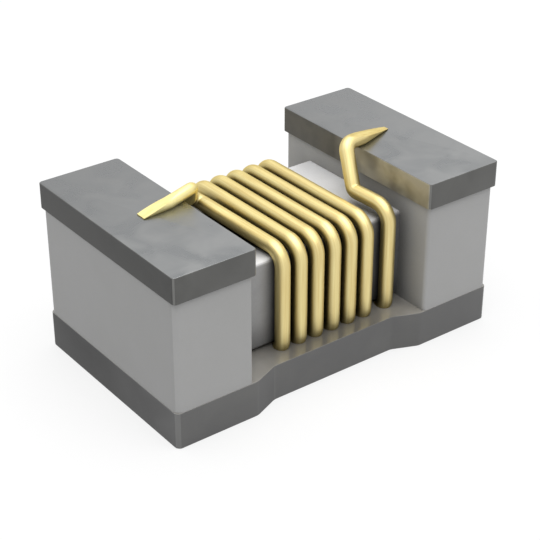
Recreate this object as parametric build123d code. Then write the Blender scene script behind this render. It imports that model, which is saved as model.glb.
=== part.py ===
from build123d import *
import os
from math import ceil, cos, radians, sin, sqrt, tan

# Chip radio-frequency inductor: a wire wound round the post of a ceramic drum core.
# It stands on its flat cover, with its two terminals up.
# Lengths are in millimetres. The origin is the middle of the solder face, the plane of the
# terminals' tops. +X runs along the part, +Y across it to the back and +Z out to the board.

# Cover plate, with its long sides drawn in along the middle
cover_length = 1.27
cover_width = 0.752
cover_thickness = 0.1285
cover_waist_depth = 0.0378
cover_waist_length = 0.484
cover_waist_slope = 0.091
cover_corner_radius = 0.013
cover_bottom_radius = 0.019

# Ceramic core: how far it stands in from the cover's edges, its two flanges and its post
core_end_inset = 0.005
core_side_inset = 0.002
flange_thickness = 0.2805
flange_height = 0.3835
flange_corner_radius = 0.025
post_width = 0.498
post_height = 0.3155
post_lift = 0.0075
post_corner_radius = 0.012

# Terminals: metal caps on the flanges, standing out a little past their sides
terminal_thickness = 0.089
terminal_end_overhang = 0.0065
terminal_inner_overhang = 0.0095
terminal_side_overhang = 0.01
terminal_corner_radius = 0.013
terminal_edge_radius = 0.004

# Wire and its turns: as many close turns as the window holds, then one more set apart.
# The wire bends wider than the post's corners do, so it passes close to them and stands off
# the post's flat sides.
wire_diameter = 0.05
turn_bend_radius = 0.056
corner_clearance = 0.0006
turn_pitch = 0.0674
first_turn_offset = 0.185
last_turn_gap = 0.0927
last_turn_margin = 0.06
last_turn_lift = 0.0165

# Wire ends: each rises from a kink on the post's top, bends over the terminal's inner edge
# and is pressed to a wedge. Distances along X are from the terminal's inner edge.
kink_radius = 0.03
lead_bend_radius = 0.034
lead_lift = 0.002
lead_seat = 0.005
left_kink_y = 0.216
left_bend_inset = 0.048
left_bend_y = 0.021
left_root_reach = 0.06
left_root_y = -0.003
left_tip_reach = 0.165
left_tip_y = -0.0125
left_tip_thickness = 0.003
right_kink_y = -0.099
right_bend_inset = 0.0495
right_bend_y = -0.02
right_root_reach = 0.0293
right_root_y = -0.008
right_tip_reach = 0.172
right_tip_y = 0.031
right_tip_thickness = 0.0015
wedge_angle = 12.0

# Largest turn, in degrees, at one mitre of a bend in sight and of one inside the cover
open_mitre_turn = 30.0
buried_mitre_turn = 45.0

# Heights and places that follow from the sizes above
flange_top = -terminal_thickness
cover_top = flange_top - flange_height
cover_bottom = cover_top - cover_thickness
post_bottom = cover_top + post_lift
post_top = post_bottom + post_height
core_length = cover_length - 2 * core_end_inset
core_width = cover_width - 2 * core_side_inset
window_half = core_length / 2 - flange_thickness
terminal_inner_x = window_half - terminal_inner_overhang
wire_radius = wire_diameter / 2
bend_slack = turn_bend_radius - wire_radius - post_corner_radius
side_clearance = bend_slack - (bend_slack - corner_clearance) * sqrt(0.5)
run_y = post_width / 2 + side_clearance + wire_radius
run_top = post_top + side_clearance + wire_radius
run_bottom = post_bottom - side_clearance - wire_radius
turn_room = 2 * window_half - first_turn_offset - last_turn_gap - last_turn_margin
close_turns = int(turn_room / turn_pitch) + 1
first_turn_x = first_turn_offset - window_half
last_close_x = first_turn_x + (close_turns - 1) * turn_pitch
last_turn_x = last_close_x + last_turn_gap
lead_z = wire_radius - lead_seat


def upright_edges(solid):
    return solid.edges().filter_by(Axis.Z)


def cover_outline():
    """Half of the cover's outline is drawn and mirrored: full width, a slope, then the waist."""
    half_length = cover_length / 2
    half_width = cover_width / 2
    waist = cover_waist_length / 2
    shoulder = waist + cover_waist_slope
    waist_y = half_width - cover_waist_depth
    right_side = [
        (0, waist_y),
        (waist, waist_y),
        (shoulder, half_width),
        (half_length, half_width),
        (half_length, -half_width),
        (shoulder, -half_width),
        (waist, -waist_y),
        (0, -waist_y),
    ]
    half = make_face(Polyline(*right_side, close=True))
    return half + mirror(half, Plane.YZ)


def make_cover(winding):
    """The flat plate, cast round the lower runs of the winding."""
    plate = Pos(0, 0, cover_bottom) * extrude(cover_outline(), cover_thickness)
    ends = upright_edges(plate).group_by(SortBy.DISTANCE)[-1]
    plate = fillet(ends, cover_corner_radius)
    plate = fillet(plate.faces().sort_by(Axis.Z)[0].edges(), cover_bottom_radius)
    return plate - winding


def make_flange(side):
    centre = Pos(side * (window_half + flange_thickness / 2), 0, cover_top)
    block = extrude(Rectangle(flange_thickness, core_width), flange_height)
    return centre * fillet(upright_edges(block), flange_corner_radius)


def make_post():
    """A bar between the flanges, rounded along its four edges where the wire bends."""
    section = Plane.YZ * Pos(0, (post_bottom + post_top) / 2) * RectangleRounded(
        post_width, post_height, post_corner_radius
    )
    return extrude(section, window_half + flange_thickness / 2, both=True)


def make_core():
    return make_flange(-1) + make_post() + make_flange(1)


def make_terminal(side):
    """A cap on top of one flange, its top edges softened."""
    length = flange_thickness + terminal_end_overhang + terminal_inner_overhang
    width = core_width + 2 * terminal_side_overhang
    block = extrude(Rectangle(length, width), terminal_thickness)
    block = fillet(upright_edges(block), terminal_corner_radius)
    block = fillet(block.faces().sort_by(Axis.Z)[-1].edges(), terminal_edge_radius)
    return Pos(side * (terminal_inner_x + length / 2), 0, flange_top) * block


def turn_route():
    """Corners of the turns: each goes down the front, back under the post and up the back."""
    corners = []
    for turn in range(close_turns):
        x = first_turn_x + turn * turn_pitch
        corners.append((x, -run_y, run_top))
        corners.append((x, -run_y, run_bottom))
        if turn < close_turns - 1:
            corners.append((x + turn_pitch, run_y, run_bottom))
            corners.append((x + turn_pitch, run_y, run_top))
    return corners


def winding_route():
    """Corners and bend radii of the wire's centreline, from the left end to the right end."""
    left_end_x = -terminal_inner_x - left_tip_reach - wire_diameter
    left_root_x = -terminal_inner_x - left_root_reach
    right_root_x = terminal_inner_x + right_root_reach
    right_end_x = terminal_inner_x + right_tip_reach + wire_diameter
    left_slope = (left_tip_y - left_root_y) / (left_tip_reach - left_root_reach)
    right_slope = (right_tip_y - right_root_y) / (right_tip_reach - right_root_reach)
    hairpin_radius = last_turn_gap / 2
    hairpin_y = -run_y + turn_bend_radius + 2 * hairpin_radius
    last_top = run_top + last_turn_lift
    bend_z = lead_z + lead_lift

    route = [
        ((left_end_x, left_root_y + left_slope * (left_root_x - left_end_x), lead_z), 0),
        ((left_root_x, left_root_y, lead_z), lead_bend_radius),
        ((left_bend_inset - terminal_inner_x, left_bend_y, bend_z), kink_radius),
        ((first_turn_x, left_kink_y, run_top), kink_radius),
    ]
    route += [(corner, turn_bend_radius) for corner in turn_route()]
    route += [
        ((last_close_x, hairpin_y, run_bottom), hairpin_radius),
        ((last_turn_x, hairpin_y, run_bottom), hairpin_radius),
        ((last_turn_x, -run_y, run_bottom), turn_bend_radius),
        ((last_turn_x, -run_y, last_top), turn_bend_radius),
        ((last_turn_x, right_kink_y, last_top), kink_radius),
        ((terminal_inner_x - right_bend_inset, right_bend_y, bend_z), lead_bend_radius),
        ((right_root_x, right_root_y, lead_z), lead_bend_radius),
        ((right_end_x, right_root_y + right_slope * (right_end_x - right_root_x), lead_z), 0),
    ]
    return route


def bend(before, corner, after, radius):
    """Points that lead the wire round one corner, its turn shared evenly by a few mitres."""
    arriving = (corner - before).normalized()
    leaving = (after - corner).normalized()
    turn = radians(arriving.get_angle(leaving))
    largest = radians(buried_mitre_turn if corner.Z < cover_top else open_mitre_turn)
    mitres = ceil(turn / largest - 1e-6)
    inward = (leaving - arriving * cos(turn)).normalized()
    centre = corner - arriving * radius * tan(turn / 2) + inward * radius
    reach = radius / cos(turn / mitres / 2)
    points = []
    for mitre in range(mitres):
        angle = turn * (mitre + 0.5) / mitres
        points.append(centre + (arriving * sin(angle) - inward * cos(angle)) * reach)
    return points


def wedge_cut(side, tip_reach, tip_thickness):
    """What the press takes off one wire end: above a slope that falls to the tip, and past it."""
    rise = 2 * wire_diameter
    run = rise / tan(radians(wedge_angle))
    tip_x = terminal_inner_x + tip_reach
    profile = [
        (tip_x - run, tip_thickness + rise),
        (tip_x, tip_thickness),
        (tip_x, -wire_diameter),
        (tip_x + 3 * wire_diameter, -wire_diameter),
        (tip_x + 3 * wire_diameter, tip_thickness + rise),
    ]
    face = Plane.XZ * make_face(Polyline(*profile, close=True))
    block = extrude(face, 4 * wire_diameter, both=True)
    if side < 0:
        return mirror(block, Plane.YZ)
    return block


def make_winding(terminals):
    """One wire: the left end, the close turns, a hairpin in the cover, the last turn, the right end."""
    route = winding_route()
    corners = [Vector(*corner) for corner, radius in route]
    points = [corners[0]]
    for index in range(1, len(route) - 1):
        points += bend(corners[index - 1], corners[index], corners[index + 1], route[index][1])
    points.append(corners[-1])
    centreline = Polyline(*points)
    start = Plane(centreline @ 0, z_dir=centreline % 0)
    wire = sweep(start * Circle(wire_radius), path=centreline, transition=Transition.RIGHT)
    wire -= wedge_cut(-1, left_tip_reach, left_tip_thickness)
    wire -= wedge_cut(1, right_tip_reach, right_tip_thickness)
    for terminal in terminals:
        wire -= terminal
    return wire


def main():
    left_terminal = make_terminal(-1)
    right_terminal = make_terminal(1)
    winding = make_winding([left_terminal, right_terminal])
    nodes = {
        "ceramic_core": make_core(),
        "terminal_left": left_terminal,
        "terminal_right": right_terminal,
        "winding": winding,
        "cover_plate": make_cover(winding),
    }
    os.makedirs("parts", exist_ok=True)
    for name, solid in nodes.items():
        export_step(solid, f"parts/{name}.step")


main()
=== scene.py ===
import bmesh
import bpy
from math import ceil, cos, pi, radians, sin, sqrt, tan
from mathutils import Matrix, Vector


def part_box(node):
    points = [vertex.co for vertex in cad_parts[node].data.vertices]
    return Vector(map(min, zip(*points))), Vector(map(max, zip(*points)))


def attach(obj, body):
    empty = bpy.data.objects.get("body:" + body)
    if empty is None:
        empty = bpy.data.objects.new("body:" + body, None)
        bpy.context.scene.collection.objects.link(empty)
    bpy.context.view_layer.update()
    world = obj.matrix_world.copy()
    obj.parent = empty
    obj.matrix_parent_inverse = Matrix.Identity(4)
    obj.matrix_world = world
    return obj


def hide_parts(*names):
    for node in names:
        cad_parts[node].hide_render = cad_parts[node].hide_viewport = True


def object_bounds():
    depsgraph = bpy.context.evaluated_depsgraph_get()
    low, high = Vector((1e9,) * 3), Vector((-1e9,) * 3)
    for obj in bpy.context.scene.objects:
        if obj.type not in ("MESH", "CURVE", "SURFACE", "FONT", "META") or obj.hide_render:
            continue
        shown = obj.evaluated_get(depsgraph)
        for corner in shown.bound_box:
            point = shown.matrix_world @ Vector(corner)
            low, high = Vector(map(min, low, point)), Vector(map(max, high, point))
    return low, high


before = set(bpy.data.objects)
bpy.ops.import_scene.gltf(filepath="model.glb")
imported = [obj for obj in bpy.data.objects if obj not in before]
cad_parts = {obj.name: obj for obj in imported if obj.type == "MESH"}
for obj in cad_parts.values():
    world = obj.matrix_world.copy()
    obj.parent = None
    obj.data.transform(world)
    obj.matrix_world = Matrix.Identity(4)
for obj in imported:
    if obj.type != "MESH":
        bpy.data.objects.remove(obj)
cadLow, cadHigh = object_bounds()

# Chip inductor: magnet wire wound round a ceramic drum core, which stands on its moulded cover
# with both terminals up. Meshes are shaped in millimetres and made metres at the end, so the
# pieces' dictionaries are in millimetres.
mm = 0.001
mergeDistance = 0.00001
onLevel = 0.0001         # how near to a height a point counts as at it
facing = 0.9             # how far a normal leans along an axis to count as facing that way
sharpAngle = 38          # degrees


def toMillimetres(node):
    low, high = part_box(node)
    return low / mm, high / mm


coreLow, coreHigh = toMillimetres("ceramic_core")
coverLow, coverHigh = toMillimetres("cover_plate")
leftCapLow, leftCapHigh = toMillimetres("terminal_left")
rightCapLow, rightCapHigh = toMillimetres("terminal_right")
solderZ = leftCapHigh.z      # plane of the caps' tops
coverTop = coverHigh.z


# sRGB hex to linear
def colour(code):
    channels = [int(code[i:i + 2], 16) / 255 for i in (1, 3, 5)]
    return [c / 12.92 if c <= 0.04045 else ((c + 0.055) / 1.055) ** 2.4 for c in channels] + [1]


# one node with its settings, its inputs and what feeds them
def addNode(tree, kind, settings=None, inputs=None, links=None):
    node = tree.nodes.new(kind)
    for name, value in (settings or {}).items():
        setattr(node, name, value)
    for name, value in (inputs or {}).items():
        node.inputs[name].default_value = value
    for name, source in (links or {}).items():
        tree.links.new(source, node.inputs[name])
    return node


def newMaterial(name):
    material = bpy.data.materials.new(name)
    material.use_nodes = True
    tree = material.node_tree
    tree.nodes.clear()
    out = addNode(tree, "ShaderNodeOutputMaterial")
    return material, tree, out


def setRamp(node, first, last):
    ends = node.color_ramp.elements
    ends[0].position, ends[0].color = first
    ends[1].position, ends[1].color = last


# Painted shade: narrow gaps are darkened by how closed in they are, up to the plane of the caps'
# tops
paintedGapShade = {"samples": 8, "closed": 0.1, "fade": 0.01}


# painted shade: a tone darkened by how closed in its place is and by which way its face leans;
# look["clear"] is the openness that stays unshaded, on upright faces and on those that look up
def shadeGaps(tree, tone, look):
    openness = addNode(tree, "ShaderNodeAmbientOcclusion", {"samples": paintedGapShade["samples"]},
                       {"Distance": look["gap"] * mm})
    normal = addNode(tree, "ShaderNodeNewGeometry").outputs["True Normal"]
    upward = addNode(tree, "ShaderNodeSeparateXYZ", links={"Vector": normal})
    clear = addNode(tree, "ShaderNodeMapRange", inputs={
        "To Min": look["clear"][0], "To Max": look["clear"][1]},
        links={"Value": upward.outputs["Z"]})
    level = addNode(tree, "ShaderNodeMapRange", inputs={
        "From Min": paintedGapShade["closed"], "To Min": look["gapShade"]},
        links={"Value": openness.outputs["AO"], "From Max": clear.outputs["Result"]})
    place = addNode(tree, "ShaderNodeTexCoord").outputs["Object"]
    height = addNode(tree, "ShaderNodeSeparateXYZ", links={"Vector": place})
    above = addNode(tree, "ShaderNodeMapRange", inputs={
        "From Min": (solderZ - paintedGapShade["fade"]) * mm,
        "From Max": (solderZ + paintedGapShade["fade"]) * mm}, links={"Value": height.outputs["Z"]})
    level = addNode(tree, "ShaderNodeMath", {"operation": "MAXIMUM"}, links={
        0: level.outputs["Result"], 1: above.outputs["Result"]})
    return addNode(tree, "ShaderNodeVectorMath", {"operation": "SCALE"}, links={
        "Vector": tone, "Scale": level.outputs[0]}).outputs["Vector"]


# finishes a bmesh made in millimetres as a piece that stands for a CAD node
def makePiece(bm, name, node, materials):
    bmesh.ops.remove_doubles(bm, verts=bm.verts, dist=mergeDistance)
    bmesh.ops.recalc_face_normals(bm, faces=bm.faces)
    bmesh.ops.scale(bm, vec=(mm, mm, mm), verts=bm.verts)
    for face in bm.faces:
        face.smooth = True
    mesh = bpy.data.meshes.new(name)
    bm.to_mesh(mesh)
    bm.free()
    mesh.set_sharp_from_angle(angle=radians(sharpAngle))
    for material in materials:
        mesh.materials.append(material)
    piece = bpy.data.objects.new(name, mesh)
    bpy.context.collection.objects.link(piece)
    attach(piece, "root")
    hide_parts(node)
    print("made", name, len(mesh.polygons), "faces")


def makeBlock(bm, low, high):
    made = bmesh.ops.create_cube(bm, size=1)["verts"]
    bmesh.ops.scale(bm, vec=high - low, verts=made)
    bmesh.ops.translate(bm, vec=(low + high) / 2, verts=made)


def bevelEdges(bm, edges, radius, segments):
    bmesh.ops.bevel(bm, geom=edges, offset=radius, offset_type="OFFSET", segments=segments,
                    profile=0.5, affect="EDGES", material=-1, clamp_overlap=True)


def edgesAlong(bm, axis, test=lambda middle: True):
    found = []
    for edge in bm.edges:
        a, b = edge.verts
        along = (b.co - a.co).normalized()
        if abs(along[axis]) > 0.999 and test((a.co + b.co) / 2):
            found.append(edge)
    return found


def edgesAt(bm, height):
    return [e for e in bm.edges if all(abs(v.co.z - height) < onLevel for v in e.verts)]


# Drum core: one flange, its post drawn out of the inner face, then mirrored
core = {
    "flangeThickness": 0.2805, "endLift": 0.003, "outerRadius": 0.025, "innerRadius": 0.014,
    "postFront": -0.237, "postBack": 0.249, "postBottom": 0.0075, "postHeight": 0.3095,
    "postRadius": 0.012,
}
windowX = coreHigh.x - core["flangeThickness"]
postBottom = coverTop + core["postBottom"]
postTop = postBottom + core["postHeight"]

# Fired alumina: matt and very fine. Its grains of a few micrometres are drawn as 6 to show.
firedAlumina = {
    "pale": "#b0b0b0", "dark": "#acacab", "cloud": 0.25, "grain": 0.006, "grainShare": 0.35,
    "toneFrom": 0.45, "toneTo": 0.95, "roughness": 0.62, "ior": 1.5, "bump": 0.0006,
    "gap": 0.18, "gapShade": 0.38, "clear": (0.94, 0.55), "paintedCapShade": 0.0,
}
# the end faces, with painted shade: a darker tone
shadedEndAlumina = dict(firedAlumina, pale="#a4a4a4", dark="#a0a09f", gapShade=0.15, clear=(0.88, 0.55))
# the post, ground smoother, with painted light: paler, its upright sides shaded far more than its
# top
groundAluminaPaintedLight = dict(firedAlumina, pale="#e6e6e7", dark="#d8d8d9", cloud=0.12, roughness=0.35,
                     bump=0.0003, gap=0.13, gapShade=0.03, clear=(1.85, 0.42), paintedCapShade=0.92)
# painted shade on the post by the left cap: how far it runs down from the post's top, and where
# it fades along the post and at the post's front
paintedCapShade = {"down": (0.08, 0.01), "along": (-0.12, -0.17), "front": (-0.22, -0.14)}


def makeAlumina(name, look):
    material, tree, out = newMaterial(name)
    place = addNode(tree, "ShaderNodeTexCoord").outputs["Object"]
    cloud = addNode(tree, "ShaderNodeTexNoise", inputs={
        "Scale": 1 / (look["cloud"] * mm), "Detail": 4, "Roughness": 0.6},
        links={"Vector": place})
    grain = addNode(tree, "ShaderNodeTexNoise", inputs={
        "Scale": 1 / (look["grain"] * mm), "Detail": 3}, links={"Vector": place})
    mixed = addNode(tree, "ShaderNodeMath", {"operation": "MULTIPLY_ADD"},
                    {1: look["grainShare"]}, {0: grain.outputs["Fac"], 2: cloud.outputs["Fac"]})
    tone = addNode(tree, "ShaderNodeValToRGB", links={"Fac": mixed.outputs[0]})
    setRamp(tone, (look["toneFrom"], colour(look["dark"])),
            (look["toneTo"], colour(look["pale"])))
    shaded = shadeGaps(tree, tone.outputs["Color"], look)

    # painted shade on the post by the left cap
    spot = addNode(tree, "ShaderNodeSeparateXYZ", links={"Vector": place})
    onTop = addNode(tree, "ShaderNodeMapRange", inputs={
        "From Min": (postTop - paintedCapShade["down"][0]) * mm,
        "From Max": (postTop - paintedCapShade["down"][1]) * mm, "To Max": look["paintedCapShade"]},
        links={"Value": spot.outputs["Z"]})
    byCap = addNode(tree, "ShaderNodeMapRange", inputs={
        "From Min": paintedCapShade["along"][0] * mm, "From Max": paintedCapShade["along"][1] * mm},
        links={"Value": spot.outputs["X"], "To Max": onTop.outputs["Result"]})
    capUnshaded = addNode(tree, "ShaderNodeMath", {"operation": "SUBTRACT"}, {0: 1.0},
                        {1: byCap.outputs["Result"]})
    capShadeLevel = addNode(tree, "ShaderNodeMapRange", inputs={
        "From Min": paintedCapShade["front"][0] * mm, "From Max": paintedCapShade["front"][1] * mm, "To Min": 1.0},
        links={"Value": spot.outputs["Y"], "To Max": capUnshaded.outputs[0]})
    shaded = addNode(tree, "ShaderNodeVectorMath", {"operation": "SCALE"}, links={
        "Vector": shaded, "Scale": capShadeLevel.outputs["Result"]})

    bump = addNode(tree, "ShaderNodeBump", inputs={
        "Strength": 0.5, "Distance": look["bump"] * mm}, links={"Height": grain.outputs["Fac"]})
    shader = addNode(tree, "ShaderNodeBsdfPrincipled", inputs={
        "Roughness": look["roughness"], "IOR": look["ior"]}, links={
        "Base Color": shaded.outputs["Vector"], "Normal": bump.outputs["Normal"]})
    tree.links.new(shader.outputs["BSDF"], out.inputs["Surface"])
    return material


def makeCore():
    bm = bmesh.new()
    makeBlock(bm, coreLow - Vector((core["endLift"], 0, 0)),
              Vector((-windowX, coreHigh.y, coreHigh.z)))
    cuts = [
        ((0, core["postBack"], 0), (0, 1, 0)), ((0, core["postFront"], 0), (0, 1, 0)),
        ((0, 0, postBottom), (0, 0, 1)), ((0, 0, postTop), (0, 0, 1)),
    ]
    for point, normal in cuts:
        inner = [f for f in bm.faces if f.normal.x > facing]
        edges = dict.fromkeys(e for f in inner for e in f.edges)
        verts = dict.fromkeys(v for f in inner for v in f.verts)
        bmesh.ops.bisect_plane(bm, geom=inner + list(edges) + list(verts), dist=mergeDistance,
                               plane_co=point, plane_no=normal)
    bm.normal_update()
    root = [f for f in bm.faces if f.normal.x > facing
            and core["postFront"] < f.calc_center_median().y < core["postBack"]
            and postBottom < f.calc_center_median().z < postTop]
    drawn = bmesh.ops.extrude_face_region(bm, geom=root)["geom"]
    bmesh.ops.delete(bm, geom=root, context="FACES")
    bmesh.ops.translate(bm, vec=(windowX, 0, 0), verts=newVerts(drawn))
    bmesh.ops.delete(bm, geom=[f for f in drawn if isinstance(f, bmesh.types.BMFace)],
                     context="FACES")
    onPost = edgesAlong(bm, 0, lambda m: -windowX < m.x < 0)
    bevelEdges(bm, onPost, core["postRadius"], 4)
    upright = edgesAlong(bm, 2, lambda m: abs(m.y) > coreHigh.y - onLevel)
    inner = [e for e in upright if abs(e.verts[0].co.x) < windowX + onLevel]
    bevelEdges(bm, [e for e in upright if e not in inner], core["outerRadius"], 6)
    bevelEdges(bm, inner, core["innerRadius"], 6)
    bmesh.ops.mirror(bm, geom=bm.verts[:] + bm.edges[:] + bm.faces[:], axis="X",
                     merge_dist=mergeDistance)
    bm.normal_update()
    for face in bm.faces:
        x = abs(face.calc_center_median().x)
        if x < windowX - 0.01:
            face.material_index = 1
        elif abs(face.normal.x) > facing and x > coreHigh.x - 0.01:
            face.material_index = 2
    makePiece(bm, "CeramicCore", "ceramic_core", [
        makeAlumina("FiredAlumina", firedAlumina), makeAlumina("GroundAluminaPaintedLight", groundAluminaPaintedLight),
        makeAlumina("FiredAluminaShadedEnds", shadedEndAlumina)])


# End caps: softened on every edge
cap = {"cornerRadius": 0.013, "topRadius": 0.003, "bottomRadius": 0.002}

# Dull tin plating over a fired film: grey metal, satin, with faint smudges. Painted shade changes
# the tone towards the back, from farFrom to farTo.
tinSides = {
    "dark": "#5a5a58", "pale": "#626260", "roughness": 0.4, "spread": 0.06, "metallic": 0.5,
    "gloss": 0.5, "smudge": 0.11, "grain": 0.007, "bump": 0.0005,
    "farTone": 1.0, "farFrom": 0.0, "farTo": 1.0,
}
# the tops, with painted light: brighter metal than the sides, and painted shade darker to the
# back
tinTops = dict(tinSides, dark="#8c8e8f", pale="#979898", roughness=0.3, metallic=1.0,
               bump=0.00004, farTone=0.74, farFrom=-0.25, farTo=0.35)
# the inner sides, with a painted reflection of the wire: warm, and with painted shade dark behind
tinInner = dict(tinSides, dark="#918d80", pale="#afaa9b", roughness=0.5, metallic=0.7,
                smudge=0.09, farTone=0.25, farFrom=-0.05, farTo=0.1)
# painted highlight: the corners paler; painted shade: the outer ends darker and duller
tinCorners = dict(tinSides, dark="#747472", pale="#7c7c7a", smudge=0.05, bump=0.0003)
tinEnds = dict(tinSides, dark="#545453", pale="#5b5b5a", roughness=0.55, metallic=0.1, gloss=0.1)


def makeTinPlate(name, look):
    material, tree, out = newMaterial(name)
    place = addNode(tree, "ShaderNodeTexCoord").outputs["Object"]
    smudge = addNode(tree, "ShaderNodeTexNoise", inputs={
        "Scale": 1 / (look["smudge"] * mm), "Detail": 2, "Roughness": 0.5, "Distortion": 0.6},
        links={"Vector": place})
    grain = addNode(tree, "ShaderNodeTexNoise", inputs={
        "Scale": 1 / (look["grain"] * mm), "Detail": 2}, links={"Vector": place})
    tone = addNode(tree, "ShaderNodeValToRGB", links={"Fac": smudge.outputs["Fac"]})
    setRamp(tone, (0.35, colour(look["dark"])), (0.65, colour(look["pale"])))
    across = addNode(tree, "ShaderNodeSeparateXYZ", links={"Vector": place})
    # painted shade: the tone darkens towards the back, by farTone
    paintedBackShade = addNode(tree, "ShaderNodeMapRange", inputs={
        "From Min": look["farFrom"] * mm, "From Max": look["farTo"] * mm,
        "To Min": 1.0, "To Max": look["farTone"]}, links={"Value": across.outputs["Y"]})
    shaded = addNode(tree, "ShaderNodeVectorMath", {"operation": "SCALE"}, links={
        "Vector": tone.outputs["Color"], "Scale": paintedBackShade.outputs["Result"]})
    dull = addNode(tree, "ShaderNodeMapRange", inputs={
        "From Min": 0.3, "From Max": 0.7, "To Min": look["roughness"] - look["spread"],
        "To Max": look["roughness"] + look["spread"]}, links={"Value": smudge.outputs["Fac"]})
    bump = addNode(tree, "ShaderNodeBump", inputs={
        "Strength": 0.2, "Distance": look["bump"] * mm}, links={"Height": grain.outputs["Fac"]})
    shader = addNode(tree, "ShaderNodeBsdfPrincipled", inputs={
        "Metallic": look["metallic"], "Specular IOR Level": look["gloss"]}, links={
        "Base Color": shaded.outputs["Vector"], "Roughness": dull.outputs["Result"],
        "Normal": bump.outputs["Normal"]})
    tree.links.new(shader.outputs["BSDF"], out.inputs["Surface"])
    return material


def makeCap(name, node, low, high, materials):
    bm = bmesh.new()
    makeBlock(bm, low, high)
    bevelEdges(bm, edgesAlong(bm, 2), cap["cornerRadius"], 6)
    bevelEdges(bm, edgesAt(bm, high.z), cap["topRadius"], 4)
    bevelEdges(bm, edgesAt(bm, low.z), cap["bottomRadius"], 3)
    bm.normal_update()
    inward = -1 if low.x > 0 else 1
    for face in bm.faces:                      # 1 top, 2 inner side, 3 corners, 4 outer end
        towards = inward * face.normal.x
        if face.normal.z > 0.97:
            face.material_index = 1
        elif towards > 0.8 or (face.normal.z < -0.1 and towards > 0.4):
            face.material_index = 2
        elif abs(face.normal.x) > 0.55 and abs(face.normal.y) > 0.55:
            face.material_index = 3
        elif towards < -facing:
            face.material_index = 4
    makePiece(bm, name, node, materials)


# Cover plate: full width at its ends, drawn in along the middle
cover = {
    "waistDepth": 0.0378, "waistHalf": 0.242, "shoulderHalf": 0.333, "cornerRadius": 0.018,
    "bottomRadius": 0.004, "topRadius": 0.002, "waistRadius": 0.009,
    "shadedShoulder": (-0.34, -0.2),             # the front slope at the left, given the ends' painted shade
}

# Moulded epoxy: dark grey and smooth, with a soft flow mottle. Painted light changes the tone
# from nearY at the front to farY, and from flangeFrom to flangeTo out from the middle.
epoxySides = {
    "pale": "#717170", "dark": "#6b6b6b", "flow": 0.2, "grain": 0.008, "bump": 0.0003,
    "roughness": 0.3, "ior": 1.5, "gloss": 0.2, "nearTone": 1.0, "farTone": 1.0,
    "nearY": -0.38, "farY": 0.12, "flangeTone": 1.0, "flangeFrom": 0.14, "flangeTo": 0.27,
}
# the ends, with painted shade: darker and duller, and painted lighter towards the front corner
epoxyEnds = dict(epoxySides, pale="#5f5f5f", dark="#595959", gloss=0.05, nearTone=1.5,
                 farTone=0.8)
# the corners, with a painted highlight: paler
epoxyCorners = dict(epoxySides, pale="#80807f", dark="#7b7b7b")
# the top is glossy from the mould, with painted light making it paler by the flanges
epoxyTop = dict(epoxySides, pale="#706e6a", dark="#676561", bump=0.0002, roughness=0.16,
                ior=1.6, gloss=0.9, flangeTone=1.9)


def makeEpoxy(name, look):
    material, tree, out = newMaterial(name)
    place = addNode(tree, "ShaderNodeTexCoord").outputs["Object"]
    flow = addNode(tree, "ShaderNodeTexNoise", inputs={
        "Scale": 1 / (look["flow"] * mm), "Detail": 4, "Distortion": 0.5},
        links={"Vector": place})
    grain = addNode(tree, "ShaderNodeTexNoise", inputs={
        "Scale": 1 / (look["grain"] * mm), "Detail": 2}, links={"Vector": place})
    tone = addNode(tree, "ShaderNodeValToRGB", links={"Fac": flow.outputs["Fac"]})
    setRamp(tone, (0.35, colour(look["dark"])), (0.65, colour(look["pale"])))
    spot = addNode(tree, "ShaderNodeSeparateXYZ", links={"Vector": place})
    # painted light: lighter towards the front
    paintedFrontLight = addNode(tree, "ShaderNodeMapRange", inputs={
        "From Min": look["nearY"] * mm, "From Max": look["farY"] * mm,
        "To Min": look["nearTone"], "To Max": look["farTone"]},
        links={"Value": spot.outputs["Y"]})
    fromMiddle = addNode(tree, "ShaderNodeMath", {"operation": "ABSOLUTE"},
                         links={0: spot.outputs["X"]})
    # painted light: paler by the flanges
    paintedFlangeLight = addNode(tree, "ShaderNodeMapRange", inputs={
        "From Min": look["flangeFrom"] * mm, "From Max": look["flangeTo"] * mm,
        "To Min": 1.0, "To Max": look["flangeTone"]}, links={"Value": fromMiddle.outputs[0]})
    level = addNode(tree, "ShaderNodeMath", {"operation": "MULTIPLY"}, links={
        0: paintedFrontLight.outputs["Result"], 1: paintedFlangeLight.outputs["Result"]})
    shaded = addNode(tree, "ShaderNodeVectorMath", {"operation": "SCALE"}, links={
        "Vector": tone.outputs["Color"], "Scale": level.outputs[0]})
    bump = addNode(tree, "ShaderNodeBump", inputs={
        "Strength": 0.3, "Distance": look["bump"] * mm}, links={"Height": grain.outputs["Fac"]})
    shader = addNode(tree, "ShaderNodeBsdfPrincipled", inputs={
        "Roughness": look["roughness"], "IOR": look["ior"], "Specular IOR Level": look["gloss"]},
        links={"Base Color": shaded.outputs["Vector"], "Normal": bump.outputs["Normal"]})
    tree.links.new(shader.outputs["BSDF"], out.inputs["Surface"])
    return material


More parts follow.
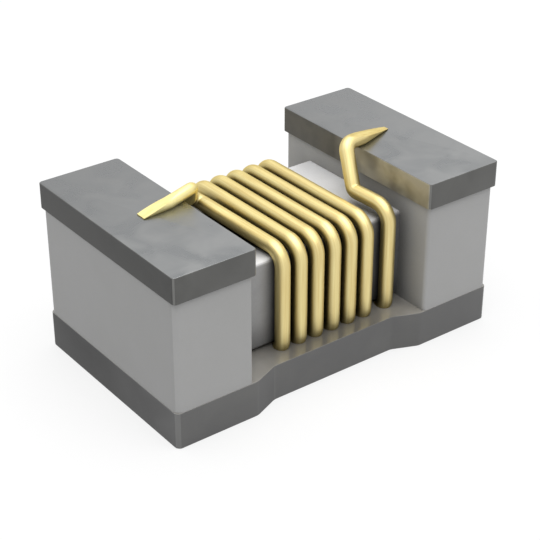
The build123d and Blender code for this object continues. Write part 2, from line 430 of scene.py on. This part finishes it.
def makeCover():
    bm = bmesh.new()
    makeBlock(bm, coverLow, coverHigh)
    for x in (-cover["shoulderHalf"], -cover["waistHalf"], cover["waistHalf"],
              cover["shoulderHalf"]):
        bmesh.ops.bisect_plane(bm, geom=bm.verts[:] + bm.edges[:] + bm.faces[:],
                               dist=mergeDistance, plane_co=(x, 0, 0), plane_no=(1, 0, 0))
    waist = [v for v in bm.verts if abs(v.co.x) < cover["waistHalf"] + onLevel]
    bmesh.ops.scale(bm, vec=(1, 1 - cover["waistDepth"] / coverHigh.y, 1), verts=waist)
    corners = edgesAlong(bm, 2, lambda m: abs(m.x) > coverHigh.x - onLevel)
    bends = edgesAlong(bm, 2, lambda m: abs(m.x) < coverHigh.x - onLevel)
    bevelEdges(bm, corners, cover["cornerRadius"], 6)
    bevelEdges(bm, bends, cover["waistRadius"], 4)
    for level, radius in ((coverLow.z, cover["bottomRadius"]), (coverHigh.z, cover["topRadius"])):
        rim = [e for e in edgesAt(bm, level) if any(abs(f.normal.z) < 0.5 for f in e.link_faces)]
        bevelEdges(bm, rim, radius, 6)
        bm.normal_update()
    shoulderFrom, shoulderTo = cover["shadedShoulder"]
    for face in bm.faces:                      # 1 top, 2 ends and shaded shoulder, 3 corners
        middle = face.calc_center_median()
        onShoulder = face.normal.x > 0.3 and middle.y < 0 and shoulderFrom < middle.x < shoulderTo
        if face.normal.z > facing:
            face.material_index = 1
        elif abs(face.normal.x) > 0.96 or onShoulder:
            face.material_index = 2
        elif abs(face.normal.x) > 0.3 and abs(middle.x) > coverHigh.x - 0.03:
            face.material_index = 3
    makePiece(bm, "CoverPlate", "cover_plate", [
        makeEpoxy("MouldedEpoxySides", epoxySides), makeEpoxy("MouldedEpoxyTop", epoxyTop),
        makeEpoxy("MouldedEpoxyEnds", epoxyEnds), makeEpoxy("MouldedEpoxyCorners", epoxyCorners)])


# Winding: the wire's centreline is corners, each with the radius of its bend. Along X, the
# first turn is placed from the flange, and the leads from their cap's inner edge.
wire = {
    "radius": 0.025, "bendRadius": 0.056, "cornerClearance": 0.0006, "shortestRun": 0.0002,
    "sides": 32, "bendStep": 9.0, "wedge": 12.0,      # the last two in degrees
    "closeTurns": 6, "pitch": 0.0674, "firstOffset": 0.185, "skew": 0.006,
    "lastGap": 0.0927, "lastLift": 0.0165,
    "kinkRadius": 0.03, "leadRadius": 0.034, "leadLift": 0.002, "leadSeat": 0.005,
    # how far each lead sinks at its root and its tip, and its share of the full thickness there
    "leftDrop": (0.01, 0.01), "leftShares": (0.86, 0.86, 0.8),
    "rightDrop": (0.0, 0.015), "rightShares": (1.0, 0.3),
    "leftKinkY": 0.216, "leftKinkShift": -0.004, "leftSag": (0.014, -0.018),
    "leftBend": (0.048, 0.021), "leftRoot": (0.06, -0.003),
    "leftTip": (0.165, -0.0125), "leftTipThickness": 0.003,
    "rightKinkY": -0.099, "rightKinkShift": -0.002,
    "rightBend": (0.0495, -0.02), "rightRoot": (0.0293, -0.008),
    "rightTip": (0.172, 0.031), "rightTipThickness": 0.0015,
}

# Drawn magnet wire: pale gold metal, satin, with die lines along it, drawn 6 micrometres wide
# to show. Its left end is paler, from leftEndFrom to leftEndTo.
magnetWire = {
    "pale": "#efe1a6", "dark": "#dac588", "leftEndPale": "#f8eeb0", "leftEndDark": "#f0e09e",
    "leftEndFrom": -0.2, "leftEndTo": -0.26, "edge": "#d8c9a0", "line": 0.006, "stretch": 0.03,
    "roughness": 0.48, "spread": 0.05, "bump": 0.0005,
    # painted shade in the gaps between turns
    "gap": 0.075, "gapShade": 0.17, "clear": (0.94, 0.97),
}


def makeWireMetal(name, look):
    material, tree, out = newMaterial(name)
    drawn = addNode(tree, "ShaderNodeAttribute", {"attribute_name": "drawn"})
    place = addNode(tree, "ShaderNodeMapping", inputs={"Scale": (1, 1, look["stretch"])},
                    links={"Vector": drawn.outputs["Vector"]})
    lines = addNode(tree, "ShaderNodeTexNoise", inputs={
        "Scale": 1 / look["line"], "Detail": 3}, links={"Vector": place.outputs["Vector"]})
    coated = addNode(tree, "ShaderNodeValToRGB", links={"Fac": lines.outputs["Fac"]})
    setRamp(coated, (0.3, colour(look["dark"])), (0.7, colour(look["pale"])))
    # the left end is paler
    paleLeftEnd = addNode(tree, "ShaderNodeValToRGB", links={"Fac": lines.outputs["Fac"]})
    setRamp(paleLeftEnd, (0.3, colour(look["leftEndDark"])), (0.7, colour(look["leftEndPale"])))
    spot = addNode(tree, "ShaderNodeSeparateXYZ", links={
        "Vector": addNode(tree, "ShaderNodeTexCoord").outputs["Object"]})
    towardsLeftEnd = addNode(tree, "ShaderNodeMapRange", inputs={
        "From Min": look["leftEndFrom"] * mm, "From Max": look["leftEndTo"] * mm},
        links={"Value": spot.outputs["X"]})
    tone = addNode(tree, "ShaderNodeMix", {"data_type": "RGBA"}, links={   # 6 and 7 are colours
        0: towardsLeftEnd.outputs["Result"], 6: coated.outputs["Color"], 7: paleLeftEnd.outputs["Color"]})
    shaded = shadeGaps(tree, tone.outputs[2], look)
    dull = addNode(tree, "ShaderNodeMapRange", inputs={
        "To Min": look["roughness"] - look["spread"],
        "To Max": look["roughness"] + look["spread"]}, links={"Value": lines.outputs["Fac"]})
    bump = addNode(tree, "ShaderNodeBump", inputs={
        "Strength": 0.25, "Distance": look["bump"] * mm}, links={"Height": lines.outputs["Fac"]})
    shader = addNode(tree, "ShaderNodeBsdfPrincipled", inputs={
        "Metallic": 1.0, "Specular Tint": colour(look["edge"])}, links={
        "Base Color": shaded, "Roughness": dull.outputs["Result"],
        "Normal": bump.outputs["Normal"]})
    tree.links.new(shader.outputs["BSDF"], out.inputs["Surface"])
    return material


def wireRoute():
    bendRadius = wire["bendRadius"]
    slack = bendRadius - wire["radius"] - core["postRadius"]
    reach = slack - (slack - wire["cornerClearance"]) * sqrt(0.5) + wire["radius"]
    frontY, backY = core["postFront"] - reach, core["postBack"] + reach
    runTop, runBottom = postTop + reach, postBottom - reach
    leadZ = solderZ + wire["radius"] - wire["leadSeat"]
    bendZ = leadZ + wire["leadLift"]
    capX = -leftCapHigh.x                      # inner edge of either cap
    firstX = wire["firstOffset"] - windowX
    closeX = firstX + (wire["closeTurns"] - 1) * wire["pitch"]
    lastX = closeX + wire["lastGap"]
    hairpin = wire["lastGap"] / 2
    hairpinY = frontY + bendRadius + 2 * hairpin
    skew = wire["skew"]                        # the runs on top lean this much to the right
    lastTop = runTop + wire["lastLift"]

    def leadEnd(root, tip):                    # a point past the tip, in line with the lead
        slope = (tip[1] - root[1]) / (tip[0] - root[0])
        over = 2 * wire["radius"]
        return tip[0] + over, tip[1] + slope * over

    leftBend = Vector((wire["leftBend"][0] - capX, wire["leftBend"][1], bendZ))
    leftKink = Vector((firstX + wire["leftKinkShift"], wire["leftKinkY"], runTop))
    sag = (leftBend + leftKink) / 2 + Vector((-wire["leftSag"][0], 0, wire["leftSag"][1]))
    leftRoot, rightRoot = wire["leftRoot"], wire["rightRoot"]
    leftEnd = leadEnd(leftRoot, wire["leftTip"])
    rightEnd = leadEnd(rightRoot, wire["rightTip"])
    route = [
        ((-capX - leftEnd[0], leftEnd[1], leadZ - wire["leftDrop"][1]), 0),
        ((-capX - leftRoot[0], leftRoot[1], leadZ - wire["leftDrop"][0]), wire["leadRadius"]),
        (leftBend, wire["kinkRadius"]), (sag, wire["kinkRadius"]), (leftKink, wire["kinkRadius"]),
    ]
    for turn in range(wire["closeTurns"]):
        x = firstX + turn * wire["pitch"]
        route += [((x + skew, frontY, runTop), bendRadius),
                  ((x + skew, frontY, runBottom), bendRadius)]
        if turn < wire["closeTurns"] - 1:
            x += wire["pitch"]
            route += [((x, backY, runBottom), bendRadius), ((x, backY, runTop), bendRadius)]
    route += [
        ((closeX + skew, hairpinY, runBottom), hairpin),
        ((lastX + skew, hairpinY, runBottom), hairpin),
        ((lastX + skew, frontY, runBottom), bendRadius),
        ((lastX + skew, frontY, lastTop), bendRadius),
        ((lastX + wire["rightKinkShift"], wire["rightKinkY"], lastTop), wire["kinkRadius"]),
        ((capX - wire["rightBend"][0], wire["rightBend"][1], bendZ), wire["leadRadius"]),
        ((capX + rightRoot[0], rightRoot[1], leadZ - wire["rightDrop"][0]), wire["leadRadius"]),
        ((capX + rightEnd[0], rightEnd[1], leadZ - wire["rightDrop"][1]), 0),
    ]
    return [(Vector(point), radius) for point, radius in route]


def newVerts(made):
    return [v for v in made if isinstance(v, bmesh.types.BMVert)]


def newEdges(made):
    return [e for e in made if isinstance(e, bmesh.types.BMEdge)]


# keeps the length of wire up to each point, which the die lines follow
def moveAlong(verts, drawn, length):
    for v in verts:
        v[drawn] = v[drawn] + Vector((0, 0, length))


# one straight run, its far end at a share of the thickness
def extrudeRun(bm, ring, drawn, start, end, share=1.0):
    if (end - start).length < wire["shortestRun"]:
        return ring
    made = bmesh.ops.extrude_edge_only(bm, edges=ring)["geom"]
    verts = newVerts(made)
    bmesh.ops.translate(bm, vec=end - start, verts=verts)
    bmesh.ops.scale(bm, vec=(share, share, share), space=Matrix.Translation(-end), verts=verts)
    moveAlong(verts, drawn, (end - start).length)
    return [e for e in newEdges(made) if all(v in verts for v in e.verts)]


def makeWinding():
    route = wireRoute()
    bm = bmesh.new()
    drawn = bm.verts.layers.float_vector.new("drawn")
    endShare, rootShare, bendShare = wire["leftShares"]
    start = bmesh.ops.create_circle(bm, segments=wire["sides"], cap_ends=True,
                                    radius=wire["radius"] * endShare)["verts"]
    for v in start:
        v[drawn] = v.co.copy()
    heading = (route[1][0] - route[0][0]).normalized()
    turnTo = heading.to_track_quat("Z", "Y").to_matrix().to_4x4()
    bmesh.ops.transform(bm, matrix=Matrix.Translation(route[0][0]) @ turnTo, verts=start)
    ring = list(dict.fromkeys(e for v in start for e in v.link_edges))
    at = route[0][0]
    last = len(route) - 1
    rightShare, tipShare = wire["rightShares"]
    swells = {1: rootShare / endShare, 2: bendShare / rootShare, 3: 1 / bendShare,
              last - 1: rightShare, last: tipShare / rightShare}
    for index in range(1, last):
        corner, radius = route[index]
        arriving = (corner - route[index - 1][0]).normalized()
        leaving = (route[index + 1][0] - corner).normalized()
        turn = arriving.angle(leaving)
        inward = (leaving - arriving * cos(turn)).normalized()
        begin = corner - arriving * radius * tan(turn / 2)
        ring = extrudeRun(bm, ring, drawn, at, begin, swells.get(index, 1.0))
        steps = ceil(turn / radians(wire["bendStep"]))
        for step in range(steps):
            made = bmesh.ops.spin(bm, geom=ring, cent=begin + inward * radius,
                                  axis=arriving.cross(inward), angle=turn / steps, steps=1,
                                  use_duplicate=False)["geom_last"]
            moveAlong(newVerts(made), drawn, radius * turn / steps)
            ring = newEdges(made)
        at = corner + leaving * radius * tan(turn / 2)
    ring = extrudeRun(bm, ring, drawn, at, route[last][0], swells[last])
    bmesh.ops.contextual_create(bm, geom=ring)
    pressEnd(bm, -1, wire["leftTip"][0], wire["leftTipThickness"])
    pressEnd(bm, 1, wire["rightTip"][0], wire["rightTipThickness"])
    makePiece(bm, "Winding", "winding",
              [makeWireMetal("EnamelledMagnetWire", magnetWire)])


# what the press leaves of one end: a square tip under a slope that rises inwards
def pressEnd(bm, side, reach, thickness):
    capX = -leftCapHigh.x
    tip = Vector((side * (capX + reach), 0, solderZ + thickness))
    slope = radians(wire["wedge"])
    planes = [(tip, Vector((side, 0, 0))), (tip, Vector((side * sin(slope), 0, cos(slope))))]
    for point, normal in planes:
        near = [v for v in bm.verts if side * v.co.x > capX - 0.1 and v.co.z > solderZ - 0.03]
        edges = [e for e in bm.edges if all(v in near for v in e.verts)]
        faces = [f for f in bm.faces if all(v in near for v in f.verts)]
        cut = bmesh.ops.bisect_plane(bm, geom=near + edges + faces, dist=mergeDistance / 10,
                                     plane_co=point, plane_no=normal, clear_outer=True)
        bmesh.ops.holes_fill(bm, edges=newEdges(cut["geom_cut"]), sides=0)


makeCore()
capMaterials = [
    makeTinPlate("TinPlateSides", tinSides), makeTinPlate("TinPlateTops", tinTops),
    makeTinPlate("TinPlateInner", tinInner), makeTinPlate("TinPlateCorners", tinCorners),
    makeTinPlate("TinPlateEnds", tinEnds)]
makeCap("TerminalLeft", "terminal_left", leftCapLow, leftCapHigh, capMaterials)
makeCap("TerminalRight", "terminal_right", rightCapLow, rightCapHigh, capMaterials)
makeCover()
makeWinding()


# Studio: pale floor, even sky and one soft box overhead. Sizes here are in metres, apart from
# the floor's grain.
studio = {
    "floorSize": 0.3, "floorColour": "#bcbcbc", "floorDark": "#bbbbbb", "floorGrain": 1.5,
    "floorShare": 0.45, "floorLift": 0.74, "sky": 0.62, "boxDirection": (0.0, -0.1, 0.95),
    "boxDistance": 0.03, "boxSize": (0.04, 0.04), "boxLevel": 1.9,
}


# 1 where the camera, a reflection or glass looks at it, 0 for light that falls on the object
def seenDirectly(tree):
    path = addNode(tree, "ShaderNodeLightPath")
    glossy = addNode(tree, "ShaderNodeMath", {"operation": "MAXIMUM"}, links={
        0: path.outputs["Is Camera Ray"], 1: path.outputs["Is Glossy Ray"]})
    return addNode(tree, "ShaderNodeMath", {"operation": "MAXIMUM"}, links={
        0: glossy.outputs[0], 1: path.outputs["Is Transmission Ray"]}).outputs[0]


# Matt paper floor: lifted to white where it is seen, and the object's shadow stays
def makeFloor():
    material, tree, out = newMaterial("PaleFloor")
    grain = addNode(tree, "ShaderNodeTexNoise", inputs={
        "Scale": 1 / (studio["floorGrain"] * mm)},
        links={"Vector": addNode(tree, "ShaderNodeTexCoord").outputs["Object"]})
    tone = addNode(tree, "ShaderNodeValToRGB", links={"Fac": grain.outputs["Fac"]})
    setRamp(tone, (0.3, colour(studio["floorDark"])), (0.7, colour(studio["floorColour"])))
    seen = seenDirectly(tree)
    share = addNode(tree, "ShaderNodeMapRange", inputs={
        "To Min": 1.0, "To Max": studio["floorShare"]}, links={"Value": seen})
    faint = addNode(tree, "ShaderNodeVectorMath", {"operation": "SCALE"}, links={
        "Vector": tone.outputs["Color"], "Scale": share.outputs["Result"]})
    diffuse = addNode(tree, "ShaderNodeBsdfDiffuse", links={"Color": faint.outputs["Vector"]})
    lift = addNode(tree, "ShaderNodeMath", {"operation": "MULTIPLY"}, {1: studio["floorLift"]},
                   {0: seen})
    glow = addNode(tree, "ShaderNodeEmission", links={"Strength": lift.outputs[0]})
    both = addNode(tree, "ShaderNodeAddShader", links={0: diffuse.outputs[0], 1: glow.outputs[0]})
    tree.links.new(both.outputs[0], out.inputs["Surface"])
    bm = bmesh.new()
    bmesh.ops.create_grid(bm, x_segments=1, y_segments=1, size=studio["floorSize"])
    bmesh.ops.translate(bm, vec=(0, 0, cadLow.z), verts=bm.verts)
    mesh = bpy.data.meshes.new("Floor")
    bm.to_mesh(mesh)
    bm.free()
    mesh.materials.append(material)
    floor = bpy.data.objects.new("Floor", mesh)
    bpy.context.collection.objects.link(floor)


def makeSky():
    world = bpy.data.worlds.new("Studio")
    bpy.context.scene.world = world
    world.use_nodes = True
    tree = world.node_tree
    tree.nodes.clear()
    level = addNode(tree, "ShaderNodeMapRange", inputs={
        "To Min": studio["sky"], "To Max": 1.0}, links={"Value": seenDirectly(tree)})
    back = addNode(tree, "ShaderNodeBackground", inputs={"Color": (1, 1, 1, 1)},
                   links={"Strength": level.outputs["Result"]})
    addNode(tree, "ShaderNodeOutputWorld", links={"Surface": back.outputs["Background"]})


def makeSoftBox():
    width, height = studio["boxSize"]
    light = bpy.data.lights.new("SoftBox", "AREA")
    light.shape = "RECTANGLE"
    light.size, light.size_y = width, height
    light.energy = studio["boxLevel"] * pi * width * height
    box = bpy.data.objects.new("SoftBox", light)
    away = Vector(studio["boxDirection"]).normalized()
    box.location = (cadLow + cadHigh) / 2 + away * studio["boxDistance"]
    box.rotation_euler = away.to_track_quat("Z", "Y").to_euler()
    bpy.context.collection.objects.link(box)


# Camera, as fitted to the part's straight edges: degrees, and millimetres from the middle of
# the cover's underside. The clip distances are in metres.
camera = {"lens": 99.63, "azimuth": -36.907, "elevation": 29.90, "roll": -0.04,
          "eye": (-2.5944, -3.4464, 2.7164), "clip": (0.0002, 2.0)}


def makeCamera():
    data = bpy.data.cameras.new("Camera")
    data.lens = camera["lens"]
    data.clip_start, data.clip_end = camera["clip"]
    view = bpy.data.objects.new("Camera", data)
    view.location = Vector(camera["eye"]) * mm + Vector((0, 0, cadLow.z))
    turn, lift = radians(camera["azimuth"]), radians(camera["elevation"])
    forward = Vector((-sin(turn) * cos(lift), cos(turn) * cos(lift), -sin(lift)))
    aim = forward.to_track_quat("-Z", "Y").to_matrix().to_4x4()
    view.rotation_euler = (aim @ Matrix.Rotation(radians(camera["roll"]), 4, "Z")).to_euler()
    bpy.context.collection.objects.link(view)
    bpy.context.scene.camera = view


makeFloor()
makeSky()
makeSoftBox()
makeCamera()
bpy.context.scene.view_settings.view_transform = "Standard"
print("lit and framed")
